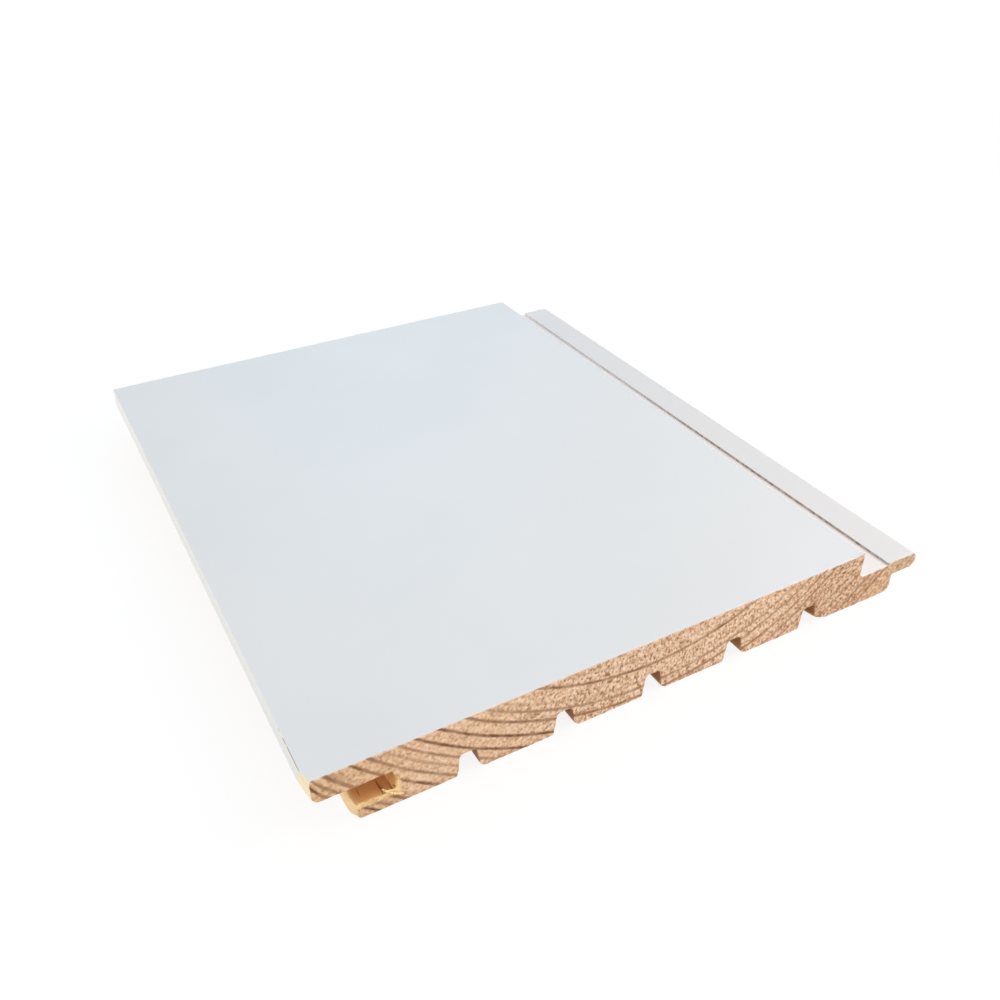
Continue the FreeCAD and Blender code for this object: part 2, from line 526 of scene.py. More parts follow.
def hollow_share(outline):
    """How deep each point lies in the groove or in a relief groove, from 0 to 1, for the painted shade
    there.
    """
    x, z = outline.T
    lowest, highest = (TOP * share for share in GROOVE_BAND)
    relief = (x > ROOT + HOLLOW_MARGIN) & (x < SEAT - HOLLOW_MARGIN) & (z < TOP / 2)
    depth = np.where(relief, np.clip(z / z[relief].max() * RELIEF_HOLLOW_RATE, 0, 1), 0.0)
    in_groove = (x > LIP + GROOVE_MOUTH) & (x < ROOT + GROOVE_ROOT_MARGIN) & (z > lowest) & (z < highest)
    inward = np.clip((x - BACK_LIP) / (ROOT - BACK_LIP), 0, 1)
    return np.where(in_groove, GROOVE_HOLLOW * smoothstep(*GROOVE_HOLLOW_RISE, inward), depth)


def stations(length):
    """Distances from the near end of the cross-sections, close together at both ends."""
    offsets = [0.0]
    step = FIRST_STATION
    while step < LONGEST_STATION:
        offsets.append(offsets[-1] + step)
        step *= STATION_GROWTH
    middle = length - 2 * offsets[-1]
    parts = math.ceil(middle / LONGEST_STATION)
    inner = [offsets[-1] + middle * k / parts for k in range(1, parts)]
    return np.array(offsets + inner + [length - d for d in reversed(offsets)])


def ring_places(points):
    """Each point's distance from the pith and along its ring in millimetres, as the rings lie there."""
    x, y, z = points.T
    across = x - EDGE
    along = y - NEAR
    from_pith_x = across - PITH_FROM_EDGE - PITH_DRIFT_X * along
    from_pith_z = z - TOP - PITH_ABOVE_FACE - PITH_DRIFT_Z * along
    radius = np.hypot(from_pith_x, from_pith_z)
    round_ring = np.arctan2(from_pith_x, -from_pith_z) * RING_MEAN_RADIUS
    squeeze = smoothstep(*RING_SQUEEZE_ACROSS, across) * smoothstep(*RING_SQUEEZE_RADII, radius)
    stretched = points * np.array(RING_WOBBLE_STRETCH)
    wobble = noise_at(stretched, RING_WOBBLE_LENGTH, RING_NOISE)
    radius += RING_SQUEEZE * squeeze + RING_WOBBLE * wobble
    return radius, round_ring


def latewood(radius):
    """Darkness of the wood from 0 to 1 at a distance from the pith."""
    dark = np.zeros_like(radius)
    for ring, strength in RINGS:
        near = np.clip(1 - np.abs(radius - ring) / RING_HALF_WIDTH, 0, 1)
        dark = np.maximum(dark, strength * near * near * (3 - 2 * near))
    return dark


def inside(outline, points):
    """Which points lie inside the outline."""
    result = np.zeros(len(points), bool)
    for a, b in zip(outline, np.roll(outline, -1, axis=0)):
        crosses = (a[1] > points[:, 1]) != (b[1] > points[:, 1])
        if a[1] != b[1]:
            at = a[0] + (points[:, 1] - a[1]) / (b[1] - a[1]) * (b[0] - a[0])
            result ^= crosses & (points[:, 0] < at)
    return result


def tree_of(points):
    """Search tree over points of the section."""
    tree = kdtree.KDTree(len(points))
    for i, p in enumerate(points):
        tree.insert((p[0], p[1], 0), i)
    tree.balance()
    return tree


def end_grid(outline, step):
    """Points of a triangle grid inside the outline, clear of its edge."""
    lowest, highest = outline.min(axis=0), outline.max(axis=0)
    rise = step * math.sqrt(3) / 2
    rows = np.arange(lowest[1] + rise / 2, highest[1], rise)
    points = []
    for k, z in enumerate(rows):
        xs = np.arange(lowest[0] + (step / 2 if k % 2 else 0), highest[0], step)
        points.append(np.stack([xs, np.full_like(xs, z)], axis=1))
    points = np.concatenate(points)
    points = points[inside(outline, points)]
    tree = tree_of(divided(outline, step / 2))
    clear = [tree.find((p[0], p[1], 0))[2] > step * GRID_CLEARANCE for p in points]
    return points[np.array(clear)]


def end_faces(outline, grid):
    """Triangles over the outline's points followed by the grid's points."""
    count = len(outline)
    points = [Vector(p) for p in np.concatenate([outline, grid])]
    edges = [(i, (i + 1) % count) for i in range(count)]
    _, _, faces, origins, _, _ = geometry.delaunay_2d_cdt(points, edges, [], INSIDE_ONLY, MERGE_DISTANCE)
    source = [o[0] for o in origins]
    return [tuple(source[i] for i in face) for face in faces]


def end_relief(points):
    """Height of the torn end grain above the saw's plane, in millimetres."""
    fine, coarse = FUZZ_SHARES
    fuzz = noise_at(points, FUZZ_SIZE, FUZZ_NOISE) * fine
    fuzz += noise_at(points, FUZZ_SIZE * COARSE_FUZZ, COARSE_FUZZ_NOISE) * coarse
    pits = np.clip(noise_at(points, PIT_SIZE, PIT_NOISE) - PIT_THRESHOLD, 0, 1)
    ridge = latewood(ring_places(points)[0])
    return LATEWOOD_RIDGE * ridge + FUZZ_HEIGHT * fuzz * (1 - RIDGE_SMOOTHING * ridge) - PIT_DEPTH * pits


def sawn_end(outline, y, outward, step):
    """Grid of points over a sawn end with their relief, and the triangles over the outline and the grid."""
    grid = end_grid(outline, step)
    cap = np.stack([grid[:, 0], np.full(len(grid), y), grid[:, 1]], axis=1)
    cap[:, 1] += outward * end_relief(cap)
    triangles = end_faces(outline, grid)
    if outward > 0:
        triangles = [face[::-1] for face in triangles]
    return cap, triangles


def worn_section(outline, normal, y):
    """Points of the section at a place along the board, worn where it lies beside a sawn end."""
    ring = np.stack([outline[:, 0], np.full(len(outline), y), outline[:, 1]], axis=1)
    from_end = min(y - NEAR, FAR - y)
    wear = ARRIS_WEAR * math.exp(-from_end / ARRIS_WEAR_FADE)
    uneven = noise_at(ring, ARRIS_WEAR_SIZE, WEAR_NOISE + (y > 0))
    uneven += noise_at(ring, ARRIS_WEAR_SIZE * COARSE_WEAR, COARSE_WEAR_NOISE)
    worn = wear * (ARRIS_WEAR_MEAN + ARRIS_WEAR_SPREAD * uneven)
    ring[:, [0, 2]] -= normal * worn[:, None]
    return ring


def side_faces(count, sections):
    """Faces between each section and the next, for sections of count points."""
    faces = []
    for k in range(sections - 1):
        a, b = k * count, (k + 1) * count
        for i in range(count):
            j = (i + 1) % count
            faces.append((a + i, b + i, b + j, a + j))
    return faces


def wear_edges(points):
    """Breaks off the lip's corner and wears and tears the other edges of the near end."""
    rough = 1 + TEAR_ROUGHNESS * noise_at(points, TEAR_SIZE, TEAR_NOISE)
    x, y, z = points.T.copy()
    length = BREAK_AT_FACE + (BREAK_AT_FOOT - BREAK_AT_FACE) * (TOP - z) / (TOP - LIP_FOOT)
    on_lip = smoothstep(LIP_FOOT - BREAK_BELOW_FOOT, LIP_FOOT, z)
    depth = BREAK * np.clip(1 - (y - NEAR) / length, 0, 1) * on_lip
    points[:, 0] += depth * np.clip(1 - (x - LEFT) / BREAK_FADE, 0, 1)
    x, y, z = points.T.copy()
    for across, up, wide, tall, push_x, push_z, reach in WORN_EDGES:
        apart = np.hypot((x - EDGE - across) / wide, (z - BACK - up) / tall)
        fade = np.clip(1 - (y - NEAR) / reach, 0, 1)
        push = smoothstep(0, 1, 1 - apart) * fade * fade * rough
        points[:, 0] += push * push_x
        points[:, 2] += push * push_z


def bake_spans(outline, painted):
    """Where each stretch of the outline starts and ends across its part of the baking map, from 0 to 1."""
    steps = np.linalg.norm(np.roll(outline, -1, axis=0) - outline, axis=1)
    first = next(i for i in range(len(outline)) if painted[i] and not painted[i - 1])
    order = np.roll(np.arange(len(outline)), -first)
    spans = np.zeros((len(outline), 2))
    for side in (True, False):
        members = order[painted[order] == side]
        ends = np.cumsum(steps[members])
        spans[members, 0] = (ends - steps[members]) / ends[-1]
        spans[members, 1] = ends / ends[-1]
    return spans


def lay_out(mesh, outline, painted, places, points, end_corners):
    """Lays the board out for baking, with more of the map for the sawn ends than for the planed sides."""
    spans = BAKE_MARGIN + BAKE_WIDTH * bake_spans(outline, painted)
    shares = (places - NEAR) / (FAR - NEAR)
    flat = []
    for near, far in zip(shares, shares[1:]):
        for (start, end), coated in zip(spans, painted):
            bottom = BAKE_PAINTED if coated else BAKE_BARE
            lower = bottom + BAKE_SIDE_HEIGHT * near
            upper = bottom + BAKE_SIDE_HEIGHT * far
            flat += [(start, lower), (start, upper), (end, upper), (end, lower)]
    for x, y, z in points[end_corners]:
        bottom = BAKE_NEAR_END if y < 0 else BAKE_FAR_END
        flat.append((BAKE_MARGIN + BAKE_SCALE * (x - LEFT), bottom + BAKE_SCALE * (z - BACK)))
    layer = mesh.uv_layers.new(name=BAKE_MAP)
    layer.uv.foreach_set("vector", np.array(flat, np.float32).ravel())


def build_board():
    """The board as one mesh: the section swept from end to end, with finely divided sawn ends."""
    outline = divided(SECTION, OUTLINE_STEP)
    normal = outward_normals(outline)
    painted = painted_points(outline, normal)
    count = len(outline)
    places = NEAR + stations(FAR - NEAR)
    verts = [worn_section(outline, normal, y) for y in places]
    gaps = [paint_gap_along(outline, painted)] * len(places)
    hollows = [hollow_share(outline)] * len(places)
    sides = side_faces(count, len(places))

    painted_tops = tree_of(outline[painted & (normal[:, 1] > FACES_UP)])
    total = count * len(places)
    ends = []
    for y, outward, step, first in ((NEAR, -1, NEAR_END_STEP, 0), (FAR, 1, FAR_END_STEP, total - count)):
        cap, triangles = sawn_end(outline, y, outward, step)
        verts.append(cap)
        gaps.append(np.array([painted_tops.find((p[0], p[2], 0))[2] for p in cap]))
        hollows.append(np.zeros(len(cap)))
        for face in triangles:
            ends.append(tuple(first + i if i < count else total + i - count for i in face))
        total += len(cap)

    points = np.concatenate(verts)
    radius, round_ring = ring_places(points)
    unworn = points.copy()
    wear_edges(points)
    mesh = bpy.data.meshes.new("board")
    mesh.from_pydata((points * MM).tolist(), [], sides + ends)
    lay_out(mesh, outline, painted, places, unworn, [i for face in ends for i in face])
    add_values(mesh, ring_radius=radius, round_ring=round_ring, paint_gap=np.concatenate(gaps),
               hollow=np.concatenate(hollows))
    mesh.polygons.foreach_set("material_index", [PLANED] * len(sides) + [SAWN] * len(ends))
    mesh.polygons.foreach_set("use_smooth", [True] * len(mesh.polygons))
    mesh.set_sharp_from_angle(angle=SHARP_ANGLE)
    mesh.validate()
    return in_scene("board", mesh)


def add_values(mesh, **values):
    """Gives the mesh a number at each of its points under each name."""
    for name, value in values.items():
        attribute = mesh.attributes.new(name, "FLOAT", "POINT")
        attribute.data.foreach_set("value", value.astype(np.float32))


def strand(path, radius):
    """Corners and faces of a thin fibre along a path, thinnest at its two ends."""
    sides = STRAND_SIDES
    swell_start, swell_length = STRAND_SWELL
    corners, faces = [], []
    for k, here in enumerate(path):
        ahead = path[min(k + 1, len(path) - 1)] - path[max(k - 1, 0)]
        turn = ahead.to_track_quat("Z", "Y")
        share = k / (len(path) - 1)
        swell = math.sin(math.pi * (swell_start + swell_length * share))
        thick = radius * (STRAND_CORE + (1 - STRAND_CORE) * swell)
        for s in range(sides):
            angle = 2 * math.pi * s / sides
            corners.append(here + turn @ Vector((thick * math.cos(angle), thick * math.sin(angle), 0)))
    for k in range(len(path) - 1):
        for s in range(sides):
            t = (s + 1) % sides
            faces.append((k * sides + s, k * sides + t, (k + 1) * sides + t, (k + 1) * sides + s))
    last = (len(path) - 1) * sides
    faces.append(tuple(reversed(range(sides))))
    faces.append(tuple(range(last, last + sides)))
    return corners, faces


def fibre_path(start, end, bow, root=STRAND_ROOT):
    """Points of a slightly bent fibre between two places of the section, from root inside the near end."""
    a = Vector((EDGE + start[0], NEAR + root, TOP + start[1]))
    b = Vector((EDGE + end[0], NEAR - random.uniform(*STRAND_STANDS_OUT), TOP + end[1]))
    side = Vector((-(b - a).z, 0, (b - a).x)) * bow
    path = []
    for k in range(STRAND_PIECES + 1):
        share = k / STRAND_PIECES
        path.append(a.lerp(b, share) + side * math.sin(math.pi * share))
    return path


def fibre_paths():
    """Path and radius of each torn fibre, the long ones first."""
    fibres = []
    for start, end, bow, root, radius in LONG_FIBRES:
        fibres.append((fibre_path(start, end, bow, root), radius))
    for count, across, up, run_across, run_up, radii in SHORT_FIBRES:
        for _ in range(count):
            start = (random.uniform(*across), random.uniform(*up))
            end = (start[0] + random.uniform(*run_across), start[1] + random.uniform(*run_up))
            path = fibre_path(start, end, random.uniform(-STRAND_BOW, STRAND_BOW))
            fibres.append((path, random.uniform(*radii)))
    return fibres


def torn_fibres():
    """Frayed fibres on the near end, at the root of the groove and along its lower lip."""
    corners, faces = [], []
    for path, radius in fibre_paths():
        new_corners, new_faces = strand(path, radius)
        offset = len(corners)
        corners += [c * MM for c in new_corners]
        faces += [tuple(offset + i for i in face) for face in new_faces]
    mesh = bpy.data.meshes.new("torn_fibres")
    mesh.from_pydata(corners, [], faces)
    mesh.polygons.foreach_set("use_smooth", [True] * len(faces))
    return in_scene("torn_fibres", mesh)


class Nodes:
    """Short ways to add and link the nodes of one material."""

    def __init__(self, name):
        self.material = bpy.data.materials.new(name)
        self.material.use_nodes = True
        self.tree = self.material.node_tree
        self.shader = self.tree.nodes["Principled BSDF"]

    def add(self, kind, inputs=(), **settings):
        """A new node with its settings, and its inputs linked or set."""
        node = self.tree.nodes.new(kind)
        for key, value in settings.items():
            setattr(node, key, value)
        for key, value in dict(inputs).items():
            self.put(node.inputs[key], value)
        return node

    def put(self, socket, value):
        """Links a socket to another, or sets its value."""
        if isinstance(value, bpy.types.NodeSocket):
            self.tree.links.new(value, socket)
        else:
            socket.default_value = value

    def attribute(self, name):
        """A number that the mesh holds at its points."""
        return self.add("ShaderNodeAttribute", attribute_name=name).outputs["Fac"]

    def math(self, operation, a, b=0.0):
        """The result of an operation on one or two numbers."""
        return self.add("ShaderNodeMath", {0: a, 1: b}, operation=operation).outputs[0]

    def product(self, *values):
        """All the values multiplied together."""
        result = values[0]
        for value in values[1:]:
            result = self.math("MULTIPLY", result, value)
        return result

    def ramp(self, value, start, end, to_start=0.0, to_end=1.0, smooth=True):
        """The value mapped from start..end to to_start..to_end and held outside."""
        kind = "SMOOTHSTEP" if smooth else "LINEAR"
        inputs = {"Value": value, "From Min": start, "From Max": end, "To Min": to_start, "To Max": to_end}
        return self.add("ShaderNodeMapRange", inputs, interpolation_type=kind).outputs["Result"]

    def mix(self, factor, a, b, blend="MIX"):
        """A colour between a and b, or a with b blended over it in another way."""
        node = self.add("ShaderNodeMix", data_type="RGBA", blend_type=blend)
        self.put(node.inputs[0], factor)
        self.put(node.inputs[6], a)
        self.put(node.inputs[7], b)
        return node.outputs[2]

    def blend(self, factor, a, b):
        """A plain number between a and b."""
        node = self.add("ShaderNodeMix", data_type="FLOAT")
        self.put(node.inputs[0], factor)
        self.put(node.inputs[2], a)
        self.put(node.inputs[3], b)
        return node.outputs[0]

    def place(self, scale=(1, 1, 1)):
        """The point's place on the board in millimetres, stretched by scale."""
        where = self.add("ShaderNodeTexCoord").outputs["Object"]
        size = tuple(s / MM for s in scale)
        return self.add("ShaderNodeMapping", {"Vector": where, "Scale": size}).outputs["Vector"]

    def axis(self, name):
        """One coordinate of the point's place in millimetres."""
        return self.add("ShaderNodeSeparateXYZ", {"Vector": self.place()}).outputs[name]

    def ring_place(self, along, outward):
        """The point's place along its growth ring and out from the pith, each stretched by a factor."""
        x = self.math("MULTIPLY", self.attribute("round_ring"), along)
        y = self.math("MULTIPLY", self.attribute("ring_radius"), outward)
        return self.add("ShaderNodeCombineXYZ", {0: x, 1: y, 2: self.axis("Y")}).outputs["Vector"]

    def noise(self, where, size, detail=2.0, roughness=0.5):
        """Noise from 0 to 1 with features of that size in millimetres."""
        inputs = {"Vector": where, "Scale": 1 / size, "Detail": detail, "Roughness": roughness}
        return self.add("ShaderNodeTexNoise", inputs).outputs["Fac"]

    def wander(self, size, reach):
        """Smooth noise around zero, in millimetres."""
        around_zero = self.math("SUBTRACT", self.noise(self.place(), size), NOISE_MIDDLE)
        return self.math("MULTIPLY", around_zero, reach)


def ring_lines(n):
    """Darkness of the growth rings from 0 to 1."""
    start, end = RING_RANGE
    across = n.axis("X")
    faint = past(EDGE, FAINT_RINGS)
    ragged = n.product(n.wander(*RING_RAGGED), n.ramp(across, *faint, *RING_RAGGED_SHARES))
    share = n.ramp(n.math("ADD", n.attribute("ring_radius"), ragged), start, end, smooth=False)
    curve = n.add("ShaderNodeFloatCurve", {"Value": share})
    points = curve.mapping.curves[0].points
    points[0].location = (0, 0)
    points[1].location = (1, 0)
    for ring, strength in RINGS:
        for offset, height in ((-RING_HALF_WIDTH, 0), (0, strength), (RING_HALF_WIDTH, 0)):
            points.new((ring + offset - start) / (end - start), height)
    for point in points:
        point.handle_type = "AUTO_CLAMPED"
    curve.mapping.update()
    return n.product(curve.outputs["Value"], n.ramp(across, *faint, 1.0, FAINT_RING_SHARE))


def finish(n, colour, roughness, height, bump_distance):
    """The material with its colour, roughness and bump on the shader."""
    n.put(n.shader.inputs["Base Color"], colour)
    n.put(n.shader.inputs["Roughness"], roughness)
    bump = n.add("ShaderNodeBump", {"Strength": 1.0, "Distance": bump_distance, "Height": height})
    n.put(n.shader.inputs["Normal"], bump.outputs["Normal"])
    return n.material


def over_end(n, across, span, factors):
    """A factor that changes between two distances from the edge."""
    return n.ramp(across, *past(EDGE, span), *factors)


def speckled_wood(n, across, line, flecks):
    """Torn earlywood: mottled, with bright and dark flecks and thin layers along the rings."""
    mottle = n.ramp(n.noise(n.place(), MOTTLE_SIZE), *NOISE_SPAN, *MOTTLE_SHADES, smooth=False)
    wood = n.mix(mottle, END_EARLYWOOD, BLACK)
    changes = [over_end(n, across, *change) for change in FLECK_STRENGTHS]
    strength = n.product(*changes, n.ramp(line, *FLECKS_ON_LINES))
    bright = n.product(n.ramp(flecks, *BRIGHT_FLECKS, smooth=False), strength)
    wood = n.mix(bright, wood, END_BRIGHT)
    darkest = over_end(n, across, *DARK_FLECK_STRENGTH)
    dark = n.product(n.ramp(flecks, *DARK_FLECKS, 0.0, darkest, smooth=False), strength)
    wood = n.mix(dark, wood, END_DARK)
    layers = n.ramp(n.noise(n.ring_place(*LAYER_STRETCH), LAYER_SIZE), *LAYER_SPAN)
    layered = over_end(n, across, *LAYER_STRENGTH)
    return n.mix(n.product(layers, layered), wood, END_LAYER)


def resin_streak(n, along, outward, half_length, half_height):
    """How dark a short streak along a growth ring of the near end is, and 0 off the streak."""
    x = n.math("DIVIDE", n.math("SUBTRACT", n.attribute("round_ring"), along), half_length)
    y = n.math("DIVIDE", n.math("SUBTRACT", n.attribute("ring_radius"), outward), half_height)
    apart = n.math("SQRT", n.math("ADD", n.product(x, x), n.product(y, y)))
    near_end = n.ramp(n.axis("Y"), *NEAR_HALF)
    return n.product(n.ramp(apart, *RESIN_SOFT_EDGE, 0.0, RESIN_SHARE), near_end)


def torn_edges(n, across, up):
    """How torn the sawn end is beside the groove, from 0 to 1: round its root and along the back lip."""
    past_root = n.ramp(across, *past(ROOT, TORN_PAST_ROOT))
    root = n.product(past_root, n.ramp(up, *TORN_FROM_BELOW), n.ramp(up, *TORN_FROM_ABOVE))
    ragged = n.math("ADD", up, n.wander(*TORN_LIP_WANDER))
    on_lip = n.ramp(ragged, *TORN_LIP, 0.0, TORN_LIP_SHARE)
    lip = n.product(on_lip, n.ramp(up, *TORN_LIP_TOP), n.ramp(across, *past(ROOT, TORN_LIP_END)))
    return n.math("MAXIMUM", root, lip)


def paint_fringe(n, line):
    """How much paint clings to the sawn end beside the painted arris, least on the latewood lines."""
    from_paint = n.math("ADD", n.attribute("paint_gap"), n.wander(*FRINGE_WANDER))
    fringe = n.ramp(from_paint, *FRINGE_FADE, FRINGE_SHARE, 0.0)
    return n.product(fringe, n.ramp(line, *FRINGE_ON_LINES))


def end_grain_material():
    """Sawn end: pale torn earlywood with dark pits and bright flecks between the latewood lines."""
    n = Nodes("sawn_end")
    across, up = n.axis("X"), n.axis("Z")
    patches = n.ramp(n.noise(n.place(), LINE_PATCH_SIZE), *NOISE_SPAN, *LINE_PATCHES)
    line = n.product(ring_lines(n), patches)
    flecks = n.noise(n.ring_place(*FLECK_STRETCH), FLECK_SIZE, FLECK_DETAIL)
    wood = speckled_wood(n, across, line, flecks)
    wood = n.mix(line, wood, END_LATEWOOD)
    for span, tint in END_TINTS:
        wood = n.mix(n.ramp(across, *past(EDGE, span)), wood, tint, "MULTIPLY")
    for streak in RESIN_STREAKS:
        wood = n.mix(resin_streak(n, *streak), wood, RESIN)
    torn = n.product(torn_edges(n, across, up), n.ramp(flecks, *NOISE_SPAN, *TORN_FLECK_SHARES))
    wood = n.mix(torn, wood, TORN_WOOD)
    wood = n.mix(paint_fringe(n, line), wood, PAINT_FRINGE)
    return finish(n, wood, END_ROUGHNESS, flecks, END_BUMP * MM)


def bare_wood(n, grain, streaks):
    """Planed softwood: growth rings, streaks and fine grain along the board."""
    wood = n.mix(n.product(ring_lines(n), PLANED_RING_SHARE), BARE_EARLYWOOD, BARE_LATEWOOD)
    wood = n.mix(n.ramp(streaks, *STREAK_SPAN, 0.0, STREAK_SHARE), wood, BARE_STREAK)
    return n.mix(n.ramp(grain, *GRAIN_SPAN, 0.0, GRAIN_SHARE), wood, BARE_LATEWOOD)


def shaded_hollows(n, wood, streaks, across, from_end):
    """The wood with painted shade, darker and streaked in the groove and in the relief grooves, and split in
    the groove.
    """
    in_relief = n.ramp(across, *past(ROOT, RELIEF_STARTS))
    # The painted shade is lighter beside the sawn ends, where light reaches into the hollows
    inward = n.ramp(from_end, *HOLLOW_FROM_END, HOLLOW_AT_END, 1.0)
    inward = n.math("MAXIMUM", inward, n.ramp(in_relief, 0.0, 1.0, 0.0, RELIEF_AT_END))
    hollow = n.product(n.attribute("hollow"), inward)
    wood = n.mix(n.ramp(hollow, *GROOVE_SHADE_SPAN, 0.0, GROOVE_SHADE_SHARE), wood, GROOVE_SHADE_WOOD)
    streaky = n.product(n.math("SUBTRACT", streaks, NOISE_MIDDLE), HOLLOW_UNEVENNESS)
    deep = n.ramp(n.math("ADD", hollow, streaky), *DEEP_SPAN, 0.0, DEEP_SHARE)
    deep = n.product(deep, n.ramp(hollow, *DEEP_FROM))
    deep_shade_wood = n.mix(n.ramp(streaks, *DEEP_STREAK_SPAN, 0.0, DEEP_STREAK_SHARE), HOLLOW_SHADE_WOOD, SPLIT_AND_SHADE_STREAK)
    wood = n.mix(deep, wood, deep_shade_wood)
    splits = n.noise(n.place(SPLIT_STRETCH), SPLIT_SIZE, SPLIT_DETAIL)
    splits = n.ramp(splits, *SPLIT_SPAN, 0.0, SPLIT_SHARE)
    in_groove = n.product(n.ramp(hollow, *SPLIT_FROM), n.math("SUBTRACT", 1.0, in_relief))
    return n.mix(n.product(splits, in_groove), wood, SPLIT_AND_SHADE_STREAK)


def paint_cover(n, from_end, sound):
    """1 where the planed wood is painted, 0 where it is bare."""
    from_paint = n.math("ADD", n.attribute("paint_gap"), n.wander(*PAINT_EDGE_WANDER))
    to_arris = n.math("ADD", from_end, n.wander(*FRAY_WANDER))
    return n.product(n.ramp(from_paint, *PAINT_EDGE, 1.0, 0.0), n.ramp(to_arris, *FRAY_FADE), sound)


def paint_colour(n, across, up):
    """White satin paint with faint clouds, and painted light: warmer in the recess and on the tongue, and
    lighter in the recess.
    """
    clouds = n.ramp(n.noise(n.place(), CLOUD_SIZE), *CLOUD_SPAN, smooth=False)
    paint = n.mix(clouds, WHITE_PAINT, PAINT_SHADE)
    # Painted light in the recess and on the tongue
    in_recess = n.ramp(up, *past(RECESS_FLOOR, RECESS_PAINT_FADE))
    lit_lower_paint = n.mix(in_recess, TONGUE_LIT_PAINT, RECESS_LIT_PAINT)
    below_face = n.product(n.ramp(up, *past(TOP, BELOW_FACE)), n.ramp(across, *TONGUE_HALF))
    return n.mix(below_face, paint, lit_lower_paint)


def unbroken(n, across, along, up):
    """0 where the face lip's corner is broken off beside the near end, and 1 elsewhere."""
    slope = (BREAK_AT_FOOT - BREAK_AT_FACE) / (TOP - LIP_FOOT)
    longer = n.product(n.math("SUBTRACT", TOP, up), slope)
    ragged = n.math("ADD", *(n.wander(*wander) for wander in CHIP_WANDERS))
    reach = n.math("ADD", n.math("ADD", longer, BREAK_AT_FACE + NEAR), ragged)
    beyond = n.ramp(n.math("SUBTRACT", along, reach), *CHIP_END)
    left_of_face = n.ramp(across, *past(EDGE, CHIP_ACROSS))
    below_face = n.ramp(up, *past(TOP, CHIP_BELOW_FACE))
    return n.math("MAXIMUM", beyond, n.math("SUBTRACT", 1.0, n.product(left_of_face, below_face)))


def seat_dirt_and_shade(n, across, along, up):
    """Dirt and painted shade on the wall of the tongue's seat, from 0 to 1, patchy and fading towards the
    far end.
    """
    before_wall = n.ramp(across, *past(SEAT, SEAT_LINE_BEFORE))
    beside_wall = n.product(before_wall, n.ramp(across, *past(SEAT, SEAT_LINE_PAST)))
    from_floor = n.math("SUBTRACT", up, RECESS_FLOOR)
    low_down = n.product(n.ramp(from_floor, *SEAT_LINE_FOOT), n.ramp(from_floor, *SEAT_LINE_TOP))
    patchy = n.ramp(n.noise(n.place(), SEAT_LINE_PATCH_SIZE), *NOISE_SPAN, *SEAT_LINE_PATCHES)
    fading = n.ramp(along, *past(NEAR, SEAT_LINE_FADES), 1.0, SEAT_LINE_FAR_SHARE)
    return n.product(beside_wall, low_down, patchy, fading)


def arris_line(n, across, along, up):
    """A darker upper edge of the face lip, from 0 to 1, beside the near end."""
    on_arris = n.ramp(across, *past(LEFT, ARRIS_LINE_ACROSS))
    on_arris = n.product(on_arris, n.ramp(up, *past(TOP, ARRIS_LINE_UP)))
    reach = n.math("ADD", n.wander(*ARRIS_LINE_WANDER), NEAR + ARRIS_LINE_LENGTH)
    return n.product(on_arris, n.ramp(n.math("SUBTRACT", along, reach), *ARRIS_LINE_FADE))


def planed_material():
    """Planed surfaces: bare straight-grained softwood, and white satin paint where it is coated."""
    n = Nodes("planed_and_painted")
    across, along, up = (n.axis(name) for name in "XYZ")
    from_end = n.math("SUBTRACT", (FAR - NEAR) / 2, n.math("ABSOLUTE", along))
    grain = n.noise(n.place(GRAIN_STRETCH), GRAIN_SIZE, GRAIN_DETAIL, GRAIN_ROUGHNESS)
    streaks = n.noise(n.place(GRAIN_STRETCH), STREAK_SIZE)
    wood = bare_wood(n, grain, streaks)
    wood = shaded_hollows(n, wood, streaks, across, from_end)
    sound = unbroken(n, across, along, up)
    wood = n.mix(n.ramp(sound, 0.0, 1.0, CHIP_SHARE, 0.0), wood, CHIP_WOOD)
    cover = paint_cover(n, from_end, sound)
    colour = n.mix(cover, wood, paint_colour(n, across, up))
    lines = n.math("MAXIMUM", seat_dirt_and_shade(n, across, along, up), arris_line(n, across, along, up))
    # Dirt and painted shade at the tongue's seat, and the dark upper edge of the face lip
    colour = n.mix(lines, colour, GRIME_AND_SHADE)
    peel = n.noise(n.place(), PEEL_SIZE)
    roughness = n.blend(cover, BARE_ROUGHNESS, n.ramp(peel, *NOISE_SPAN, *PAINT_ROUGHNESS))
    height = n.blend(cover, grain, n.product(peel, PEEL_HEIGHT))
    return finish(n, colour, roughness, height, PLANED_BUMP * MM)


def fibre_material():
    """Torn fibres: bright bare earlywood with a little streaking."""
    n = Nodes("torn_fibre")
    streaks = n.noise(n.place(FIBRE_STRETCH), FIBRE_STREAK_SIZE)
    n.put(n.shader.inputs["Base Color"], n.mix(n.ramp(streaks, *FIBRE_STREAK_SPAN), TORN_WOOD, BARE_STREAK))
    n.put(n.shader.inputs["Roughness"], n.ramp(streaks, *NOISE_SPAN, *FIBRE_ROUGHNESS))
    return n.material


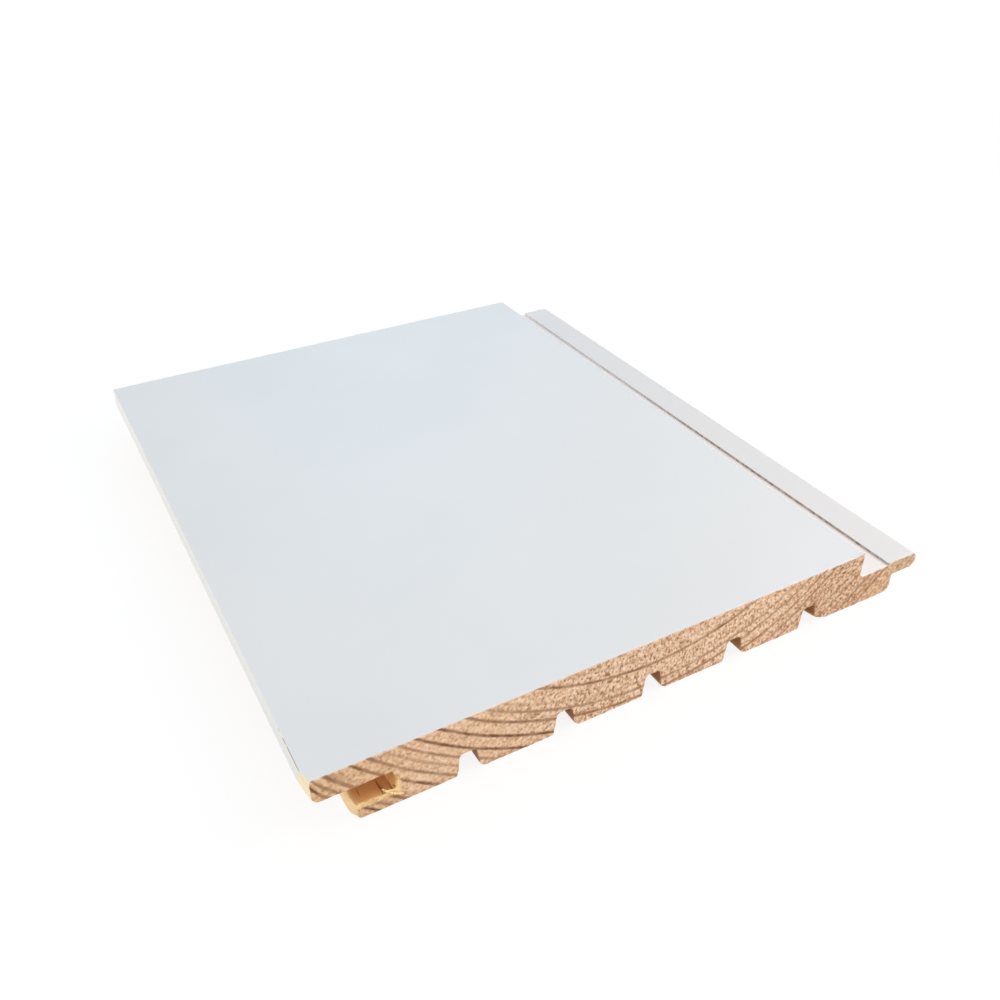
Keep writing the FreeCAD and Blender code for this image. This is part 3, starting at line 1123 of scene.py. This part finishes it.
def floor_material():
    """White to the camera and in reflections, with a soft shadow; grey in the light that it sends back."""
    n = Nodes("pale_floor")
    n.tree.nodes.remove(n.shader)
    path = n.add("ShaderNodeLightPath").outputs
    seen = n.math("MAXIMUM", path["Is Camera Ray"], path["Is Glossy Ray"])
    seen = n.math("MAXIMUM", seen, path["Is Transmission Ray"])
    pale = n.add("ShaderNodeBsdfDiffuse", {"Color": FLOOR_PALE}).outputs["BSDF"]
    bounce = n.add("ShaderNodeBsdfDiffuse", {"Color": FLOOR_BOUNCE}).outputs["BSDF"]
    glow = n.add("ShaderNodeEmission", {"Color": WHITE, "Strength": FLOOR_GLOW}).outputs["Emission"]
    distance = n.add("ShaderNodeVectorMath", {0: n.place()}, operation="LENGTH").outputs["Value"]
    white = n.ramp(distance, *FLOOR_WHITE_FROM, *FLOOR_WHITE_SHARES)
    shown = n.add("ShaderNodeMixShader", {0: white, 1: pale, 2: glow}).outputs["Shader"]
    surface = n.add("ShaderNodeMixShader", {0: seen, 1: bounce, 2: shown}).outputs["Shader"]
    n.put(n.tree.nodes["Material Output"].inputs["Surface"], surface)
    return n.material


def stage():
    """Pale floor under the board."""
    side, level = FLOOR_HALF_SIDE, FLOOR_LEVEL * MM
    mesh = bpy.data.meshes.new("floor")
    corners = [(-side, -side, level), (side, -side, level), (side, side, level), (-side, side, level)]
    mesh.from_pydata(corners, [], [(0, 1, 2, 3)])
    mesh.materials.append(floor_material())
    floor = in_scene("floor", mesh)


def area_light(name, at, target, size, power, colour):
    """A soft rectangular lamp that points at the target and that the camera can't see."""
    lamp = bpy.data.lights.new(name, "AREA")
    lamp.shape = "RECTANGLE"
    lamp.size, lamp.size_y = size
    lamp.energy = power
    lamp.color = colour
    holder = in_scene(name, lamp)
    holder.location = at
    holder.rotation_euler = (Vector(target) - Vector(at)).to_track_quat("-Z", "Y").to_euler()
    holder.visible_camera = False


def light():
    """Even soft light from all round and six lamps, broad and low round the board and smaller above it."""
    world = bpy.data.worlds.new("studio")
    bpy.context.scene.world = world
    world.use_nodes = True
    tree = world.node_tree
    path = tree.nodes.new("ShaderNodeLightPath")
    strength = tree.nodes.new("ShaderNodeMix")
    strength.inputs[2].default_value = WORLD_LIGHT
    strength.inputs[3].default_value = WORLD_SEEN
    tree.links.new(path.outputs["Is Camera Ray"], strength.inputs[0])
    tree.links.new(strength.outputs[0], tree.nodes["Background"].inputs["Strength"])
    tree.nodes["Background"].inputs["Color"].default_value = WHITE
    for lamp in LAMPS:
        area_light(*lamp)


def camera():
    """Camera at the photograph's place and angle."""
    data = bpy.data.cameras.new("camera")
    data.lens = CAMERA_LENS
    data.sensor_width = CAMERA_SENSOR
    data.clip_start = CAMERA_CLIP
    holder = in_scene("camera", data)
    at = Vector((low.x, low.y, high.z)) + CAMERA_FROM_CORNER
    turn = Matrix.Rotation(-CAMERA_HEADING, 4, "Z")
    tilt = Matrix.Rotation(math.pi / 2 - CAMERA_ELEVATION, 4, "X")
    roll = Matrix.Rotation(CAMERA_ROLL, 4, "Z")
    holder.matrix_world = Matrix.Translation(at) @ turn @ tilt @ roll
    bpy.context.scene.camera = holder


random.seed(SEED)
bpy.context.scene.view_settings.view_transform = "Standard"
board = build_board()
board.data.materials.append(planed_material())
board.data.materials.append(end_grain_material())
fibres = torn_fibres()
fibres.data.materials.append(fibre_material())
for piece in (board, fibres):
    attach(piece, "root")
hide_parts(NODE)
stage()
light()
camera()
